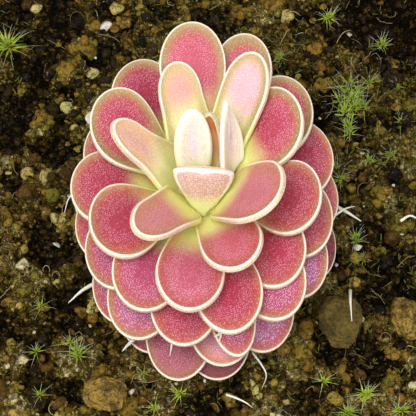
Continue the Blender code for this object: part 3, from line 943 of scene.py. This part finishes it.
# Tufts of moss: place from the plant, shoot size, how many shoots, spread
MOSS = (
    (-31.3, 33.6, 2, 3, 1.3), (23.3, 23.4, 1.6, 8, 2.8), (22.9, 18.8, 1.2, 3, 1), (20.8, 10.8, 1.2, 3, 1.8),
    (26, 13, 0.9, 2, 0.8), (30.8, 19.4, 1, 1, 0), (29.4, 13.4, 0.9, 2, 1), (26, 26.4, 1, 1, 0),
    (30.9, 26.2, 0.9, 1, 0), (20, 38.6, 1.2, 2, 0.8), (28.6, 33.4, 1.1, 2, 1), (12.3, 31, 0.9, 2, 0.9),
    (23.4, -1.2, 0.9, 2, 0.7), (24.4, -3.6, 0.9, 1, 0), (22.2, -15.9, 0.7, 1, 0), (-3.5, -26.4, 1.1, 1, 0),
    (17.5, -24.5, 1, 1, 0), (24, -27, 1.3, 2, 0.9), (21.4, -29.2, 1.2, 2, 0.8), (29, -29.6, 1, 2, 0.8),
    (-24.6, -12, 0.9, 1, 0), (-25.3, -19.3, 1, 1, 0), (-18.9, -20.4, 1.25, 3, 0.8), (-20, -18.6, 1, 1, 0),
    (-29.7, -25.9, 1.1, 1, 0), (-24.5, -26.4, 0.8, 1, 0), (-8.9, -23.5, 0.8, 1, 0), (-7.4, -28.7, 1, 1, 0),
    (-36, 6, 0.9, 3, 1.6), (38, -8, 1, 4, 1.8), (-4, -38, 0.9, 3, 1.6), (3, 47, 0.9, 3, 1.6),
)
# White threads: thickest radius, and a path from the plant (x, y, height over the soil)
THREADS = (
    (0.22, (-17.6, 5.2, 2.4), (-19.6, 5.9, 2.6), (-20.9, 5.2, 2), (-21.6, 3.2, 0.9)),
    (0.36, (-16.2, -9, 2.2), (-18.4, -10.4, 2.3), (-20.5, -12.2, 1.7)),
    (0.38, (-9.6, -18.9, 6.6), (-10.7, -19.8, 5.1), (-11.5, -20.2, 4.1), (-12.2, -20.7, 3.3)),
    (0.38, (19.2, 3.6, 3.2), (21.4, 2.5, 3.1), (23.9, 1, 2.6)),
    (0.24, (19.4, 0.4, 5.4), (20.6, 1.5, 4.9), (21.7, 2.5, 4.1), (23, 3.3, 3.1)),
    (0.16, (7, -21.5, 4.9), (8.5, -23.3, 3.9), (9.1, -24.5, 2.9), (8.5, -25.7, 1.1)),
    (0.26, (22, -10, 1.4), (21.8, -12.3, 3.7), (21.8, -13.8, 4.1), (21.9, -16.2, 4)),
    (0.24, (30, 1.6, 1.4), (31.6, 2.4, 1.6), (33.6, 1.6, 0.9)),
    (0.2, (3.2, -26.7, 1), (4.6, -27.4, 1.5), (6.1, -28.2, 1.6), (7.1, -28.7, 0.8)),
    (0.24, (2.1, -22, 14.3), (2.3, -22.9, 14.2), (1.9, -23.9, 14.1)),
    (0.2, (1.4, -22.9, 14.1), (2.6, -22.3, 14.3), (3.4, -21.8, 14.3)),
    (0.2, (-4.8, -20.8, 6.6), (-4.9, -21.6, 6.3), (-5.1, -22.5, 5.9)),
)
MOSS_LEAVES = 18
SPRIG_POINTS = 26000
ROOTLETS = 260


def fibre_material(name, colours, roughness, scale, depth, weight=0):
    """A plain material. colours makes its colour from the graph."""
    g = Graph(name)
    relief = (g.noise(scale), 0.3, depth)
    return g.finish(colours(g), roughness, relief, Subsurface_Weight=weight)


def moss_colours(g):
    """Green leaves that pale toward the tip and end in a white hair."""
    along, lot = g.attribute("along"), g.attribute("kind")
    leaf = g.mix(lot, (112, 142, 24), (160, 188, 40))
    base = g.mix(lot, (150, 170, 34), (198, 216, 60))
    return g.fade(along, 0.42, 0.62, g.fade(along, 0, 0.35, base, leaf), (214, 214, 176))


def sprig_colours(g):
    leaf = g.mix(g.attribute("kind"), (70, 66, 18), (110, 116, 30))
    return g.fade(g.attribute("along"), 0, 0.6, (44, 34, 12), leaf)


def thread_colours(g):
    return g.mix(g.noise(1.2, 3), (214, 206, 182), (246, 244, 234))


def rootlet_colours(g):
    return g.mix(g.attribute("kind"), (88, 66, 34), (178, 158, 112))


def moss_shoot(made, at, size, rng):
    """One shoot: narrow leaves round a short stem, longest outside, each with a hair tip."""
    lean = rng.normal(0, 0.16, 2)
    shade = rng.uniform(0, 1)
    steps = np.linspace(0, 1, 9)
    for k in range(MOSS_LEAVES):
        share = (k + 0.5) / MOSS_LEAVES
        turn = 2.4 * k + rng.normal(0, 0.2)
        pitch = radians(78 - 62 * share + rng.normal(0, 6))
        length = size * (1.5 + 1.6 * share) * rng.uniform(0.6, 1.35)
        bend = pitch - 0.55 * steps * (0.4 + share) + 0.25 * steps**2
        run = np.cumsum(np.cos(bend)) * length / len(steps)
        rise = np.cumsum(np.sin(bend)) * length / len(steps)
        stem = size * 0.9 * (1 - share)
        x = at[0] + np.cos(turn) * run + lean[0] * (rise + stem)
        y = at[1] + np.sin(turn) * run + lean[1] * (rise + stem)
        path = np.stack([x, y, at[2] + stem + rise], -1)
        blade = 0.12 * size * np.sin(pi * np.clip((steps + 0.14) / 0.62, 0, 1)) ** 0.8
        kind = np.clip(shade + rng.normal(0, 0.15), 0, 1)
        needle = tube(path, np.maximum(blade, 0.04 * (1.15 - steps)), 4, flat=0.3)
        made.add(*needle, along=np.repeat(steps, 4), kind=kind)


def grow_moss(made, rng):
    for x, y, size, shoots, spread in MOSS:
        for k in range(shoots):
            out, turn = spread * sqrt(k / shoots), 2.4 * k
            at = on_soil(PLANT[0] + x + out * cos(turn), PLANT[1] + y + out * sin(turn), 0.2)
            moss_shoot(made, at, size * rng.uniform(0.68, 0.9), rng)


def grow_sprigs(made, rng):
    """Short olive sprigs in patches: the low mossy fur on the peat."""
    steps = np.linspace(0, 1, 4)
    while made.count < SPRIG_POINTS:
        x, y, _ = random_place(rng, 0.95)
        damp = noise_at(x, y, 8, 33) + 0.006 * x
        if plant_distance(x, y) < 20 or damp < rng.uniform(0.45, 0.8):
            continue
        at = on_soil(x, y, -0.1)
        for _ in range(4):
            way = np.array((rng.normal(0, 0.6), rng.normal(0, 0.6), 1))
            path = at + way * steps[:, None] * rng.uniform(0.6, 1.3)
            sprig = tube(path, (0.07, 0.12, 0.09, 0.02), 3)
            made.add(*sprig, along=np.repeat(steps, 3), kind=rng.uniform(0, 1))


def smooth_path(points, steps):
    """A round path through given points (Catmull-Rom)."""
    points = np.array(points, float)
    points = np.concatenate([[2 * points[0] - points[1]], points, [2 * points[-1] - points[-2]]])
    path = []
    for a, b, c, d in zip(points, points[1:], points[2:], points[3:]):
        square, cube = 2 * a - 5 * b + 4 * c - d, 3 * b - a - 3 * c + d
        for t in np.linspace(0, 1, steps, endpoint=False):
            path.append(0.5 * (2 * b + (c - a) * t + square * t**2 + cube * t**3))
    path.append(points[-2])
    return np.array(path)


def grow_threads(made, _):
    """Stiff white threads round the plant."""
    for thick, *route in THREADS:
        path = smooth_path(route, 8)
        share = np.linspace(0, 1, len(path))
        made.add(*tube(path + (PLANT[0], PLANT[1], SOIL_LEVEL), thick * (1 - 0.8 * share**1.5), 8))


def grow_rootlets(made, rng):
    """Fine pale rootlets that lie on the soil."""
    steps = 9
    for _ in range(ROOTLETS):
        x, y, _ = random_place(rng, 0.93)
        if plant_distance(x, y) < 21:
            continue
        heading = rng.uniform(0, tau)
        heads = heading + rng.normal(0, 0.25) * np.arange(steps)
        length = rng.uniform(1.5, 4.5)
        px = x + np.cumsum(np.cos(heads)) * length / steps
        py = y + np.cumsum(np.sin(heads)) * length / steps
        arch = np.sin(np.linspace(0, pi, steps)) * rng.uniform(0.2, 0.9)
        pz = np.maximum(ground(px, py)[0], ground(x, y)[0]) + 0.25 + arch
        rootlet = tube(np.stack([px, py, pz], -1), np.full(steps, rng.uniform(0.03, 0.075)), 3)
        made.add(*rootlet, kind=rng.uniform(0, 1))


# Each of these: its grower, its random seed, and its material's name, colours, roughness, grain and depth
COVER = {
    "moss_tufts": (grow_moss, 8, "moss", moss_colours, 0.45, 6, 0.05, 0.1),
    "moss_mat": (grow_sprigs, 31, "moss_mat", sprig_colours, 0.5, 5, 0.05),
    "white_threads": (grow_threads, 0, "white_thread", thread_colours, 0.4, 5, 0.06, 0.1),
    "rootlets": (grow_rootlets, 17, "rootlet", rootlet_colours, 0.55, 5, 0.05),
}


def make_cover():
    for name, (grow, seed, *looks) in COVER.items():
        made = Builder()
        grow(made, np.random.default_rng(seed))
        stand_for(made.make(name, fibre_material(*looks)), "peat")


# ---- pot

POT_WALL = 5.5
POT_FLOOR = 5
RIM_HEIGHT = 17
RIM_STEP = 3
BASE_RADIUS = 40
DRAIN_RADIUS = 7
POT_HEIGHT = POT_HIGH[2]
RIM_RADIUS = POT_HIGH[0]


def pot_inside(z):
    """Radius of the pot's inner wall at height z."""
    low, high = BASE_RADIUS - POT_WALL, RIM_RADIUS - POT_WALL
    return low + (high - low) * (z - POT_FLOOR) / (POT_HEIGHT - POT_FLOOR)


def rounded(corners, radius, steps):
    """A closed outline with each corner turned into an arc."""
    outline = []
    count = len(corners)
    for i in range(count):
        before, here, after = (np.array(corners[(i + k) % count], float) for k in (-1, 0, 1))
        back, on = np.linalg.norm(before - here), np.linalg.norm(after - here)
        reach = min(radius, 0.45 * back, 0.45 * on)
        start, end = here + (before - here) / back * reach, here + (after - here) / on * reach
        for t in np.linspace(0, 1, steps):
            outline.append((1 - t) ** 2 * start + 2 * t * (1 - t) * here + t**2 * end)
    return np.array(outline)


def subdivided(outline, longest):
    """The outline with points added, so that none are further apart than longest."""
    points = []
    for a, b in zip(outline, np.roll(outline, -1, axis=0)):
        count = max(1, ceil(np.linalg.norm(b - a) / longest))
        points.extend(a + (b - a) * k / count for k in range(count))
    return np.array(points)


def terracotta():
    """Fired clay: orange brown, mottled, with fine turning lines and a pale mineral bloom."""
    g = Graph("fired_clay")
    height = g.value("SeparateXYZ", "Z", {"Vector": g.place})
    broad = g.noise(0.035, 4, 0.6)
    cloud = g.noise(0.12, 5, 0.65)
    fine = g.noise(1.4, 4, 0.7)
    clay = g.fade(cloud, 0.3, 0.7, (168, 92, 58), (196, 118, 78))
    clay = g.mix(g.span(fine, 0.5, 0.75) * 0.35, clay, (214, 150, 112))
    clay = g.mix(g.span(fine, 0.42, 0.25) * 0.4, clay, (128, 64, 40))
    damp = g.span(height, 66, 30) * g.span(broad, 0.35, 0.6)
    clay = g.mix(damp * 0.45, clay, (122, 66, 44))
    band = g.span(height, 16, 2) + g.span(height, 62, 71)
    bloom = g.span(cloud, 0.48, 0.7) * (band * 0.5 + 0.18) * g.span(fine, 0.35, 0.6)
    clay = g.mix(bloom, clay, (226, 206, 184))
    wave = {"Scale": 0.55, "Distortion": 0.6, "Detail": 2, "Vector": g.place}
    rings = g.value("TexWave", "Fac", wave, bands_direction="Z")
    relief = rings * 0.35 + fine * 0.5
    return g.finish(clay, fine * 0.2 + 0.68, (relief, 0.35, 0.25), Specular_IOR_Level=0.35)


def make_pot():
    """Tapered wall, stepped rim band and one drain hole, with shallow turning grooves."""
    top, under_band = POT_HEIGHT, POT_HEIGHT - RIM_HEIGHT
    corners = (
        (RIM_RADIUS, top), (RIM_RADIUS - 0.8, under_band), (RIM_RADIUS - 0.8 - RIM_STEP, under_band - 1.2),
        (BASE_RADIUS, 0), (DRAIN_RADIUS, 0), (DRAIN_RADIUS, POT_FLOOR), (pot_inside(POT_FLOOR), POT_FLOOR),
        (pot_inside(top), top),
    )
    outline = subdivided(rounded(corners, 1.6, 6), 1.2)
    groove = 0.05 * np.sin(outline[:, 1] * 1.9) + 0.04 * np.sin(outline[:, 1] * 4.3 + 1)
    on_wall = smoothstep(outline[:, 1], 2, 5) * (1 - smoothstep(outline[:, 1], top - 4, top - 1.5))
    radius = outline[:, 0] - (0.09 + groove) * on_wall
    around = 160
    turn = np.linspace(0, tau, around + 1)[None, :]
    grid = turned(radius[:, None], outline[:, 1][:, None], turn)
    grid = np.concatenate([grid, grid[:1]])
    pot = new_object("turned_pot", grid, grid_faces(len(grid), around + 1), terracotta())
    stand_for(weld(pot), "terracotta", "pot")


# ---- stage, lights and camera

CAMERA_ELEVATION = radians(64)
CAMERA_DISTANCE = 330
CAMERA_TARGET = np.array((0.5, -0.8, 8))
FRAME_WIDTH = 62  # across the picture at the target
LIT = (0, 0, 0.09)  # where the lights point, in metres


def make_camera():
    data = bpy.data.cameras.new("camera")
    data.sensor_width = 36
    data.lens = data.sensor_width * CAMERA_DISTANCE / FRAME_WIDTH
    data.clip_start = 0.01
    camera = link_object("camera", data)
    back = Vector((0, -cos(CAMERA_ELEVATION), sin(CAMERA_ELEVATION)))
    camera.location = Vector((PLANT + CAMERA_TARGET) * MM) + back * CAMERA_DISTANCE * MM
    camera.rotation_euler = (pi / 2 - CAMERA_ELEVATION, 0, 0)
    bpy.context.scene.camera = camera


def area_light(name, location, size, power, colour):
    """A round light that points at the plant."""
    data = bpy.data.lights.new(name, "AREA")
    data.shape = "DISK"
    data.size = size
    data.energy = power
    data.color = colour
    light = link_object(name, data)
    light.location = location
    light.rotation_euler = (Vector(LIT) - Vector(location)).to_track_quat("-Z", "Y").to_euler()


def make_lights():
    area_light("key", (-0.12, -0.25, 0.82), 0.4, 5.4, (1, 0.99, 0.97))
    area_light("right", (0.6, -0.2, 0.6), 0.5, 2.2, (1, 1, 1))
    area_light("left", (-0.6, -0.25, 0.55), 0.5, 1.8, (0.96, 0.98, 1))
    world = bpy.data.worlds.new("studio")
    world.use_nodes = True
    sky = world.node_tree.nodes["Background"].inputs
    sky["Color"].default_value = (0.95, 0.97, 1, 1)
    sky["Strength"].default_value = 0.46
    bpy.context.scene.world = world
    bpy.context.scene.view_settings.view_transform = "Standard"


def make_floor():
    half = 1500
    corners = [(-half, -half, 0), (half, -half, 0), (half, half, 0), (-half, half, 0)]
    finish = Graph("floor").finish((226, 222, 214), 0.7)
    new_object("floor", corners, [[0, 1, 2, 3]], finish)


make_leaves()
make_crown()
make_soil()
make_grit()
make_stones()
make_cover()
make_pot()
make_floor()
make_lights()
make_camera()
